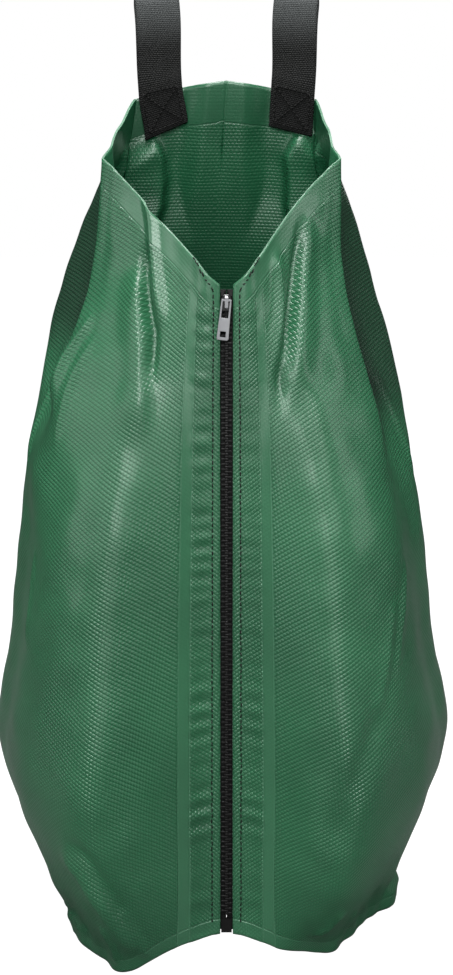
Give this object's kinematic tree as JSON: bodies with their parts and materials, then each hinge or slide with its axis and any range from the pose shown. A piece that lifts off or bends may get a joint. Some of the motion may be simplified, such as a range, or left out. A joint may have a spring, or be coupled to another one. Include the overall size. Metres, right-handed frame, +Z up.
{
  "type": "tree watering bag",
  "caption": "Double-walled green coated-fabric sleeve that zips around a tree trunk, with an open neck and base, a front zipper and webbing loops at the rear hem.",
  "frame": {"origin": "middle of the footprint, on the ground", "axes": "+Z up, -Y towards the zipper, +X to the right when facing the zipper"},
  "size_m": [0.39, 0.3686, 0.7768],
  "materials": {
    "coated_fabric_outer": "glossy coated weave",
    "coated_fabric_inner": "satin coated weave",
    "zipper_tape": "woven",
    "zipper_plastic": "satin moulded",
    "black_thread": "twisted thread",
    "slider_enamel": "gloss enamel",
    "pull_metal": "satin grey",
    "webbing": "ribbed webbing"
  },
  "bodies": {
    "bag": {"outer_panel": "coated_fabric_outer", "inner_panel": "coated_fabric_inner", "zipper_tape_left": "zipper_tape", "zipper_tape_right": "zipper_tape", "zipper_teeth_left": "zipper_plastic", "zipper_teeth_right": "zipper_plastic", "top_stop_left": "zipper_plastic", "top_stop_right": "zipper_plastic", "insertion_pin": "zipper_plastic", "retainer_box": "zipper_plastic", "zipper_stitching_left": "black_thread", "zipper_stitching_right": "black_thread", "strap_left_tail": "webbing", "strap_right_tail": "webbing", "strap_stitching_left": "black_thread", "strap_stitching_right": "black_thread", "drip_patch_left": "coated_fabric_outer", "drip_patch_right": "coated_fabric_outer"},
    "slider": {"slider_body": "slider_enamel", "slider_bridge": "pull_metal"},
    "pull": {"pull_tab": "pull_metal"},
    "loop_left": {"strap_left_loop": "webbing"},
    "loop_right": {"strap_right_loop": "webbing"}
  },
  "joints": [
    {"name": "zipper_slide", "type": "slide", "parent": "bag", "child": "slider", "axis": [0, -0.1463, -0.9892], "range_m": [0, 0.4799], "deforming": ["zipper_teeth_left", "zipper_teeth_right"]},
    {"name": "pull_tab_hinge", "type": "hinge", "parent": "slider", "child": "pull", "pos_m": [0, -0.08274, 0.53321], "axis": [-0.9945, 0.0153, 0.1034], "range_deg": [0, 120]},
    {"name": "strap_left_fold", "type": "hinge", "parent": "bag", "child": "loop_left", "pos_m": [-0.054, 0.0895, 0.7034], "axis": [0.9803, 0.1905, 0.0523], "range_deg": [-70, 80], "stiffness_Nm_per_rad": 0.03},
    {"name": "strap_right_fold", "type": "hinge", "parent": "bag", "child": "loop_right", "pos_m": [0.054, 0.0895, 0.7034], "axis": [0.9803, -0.1905, -0.0523], "range_deg": [-70, 80], "stiffness_Nm_per_rad": 0.03}
  ]
}
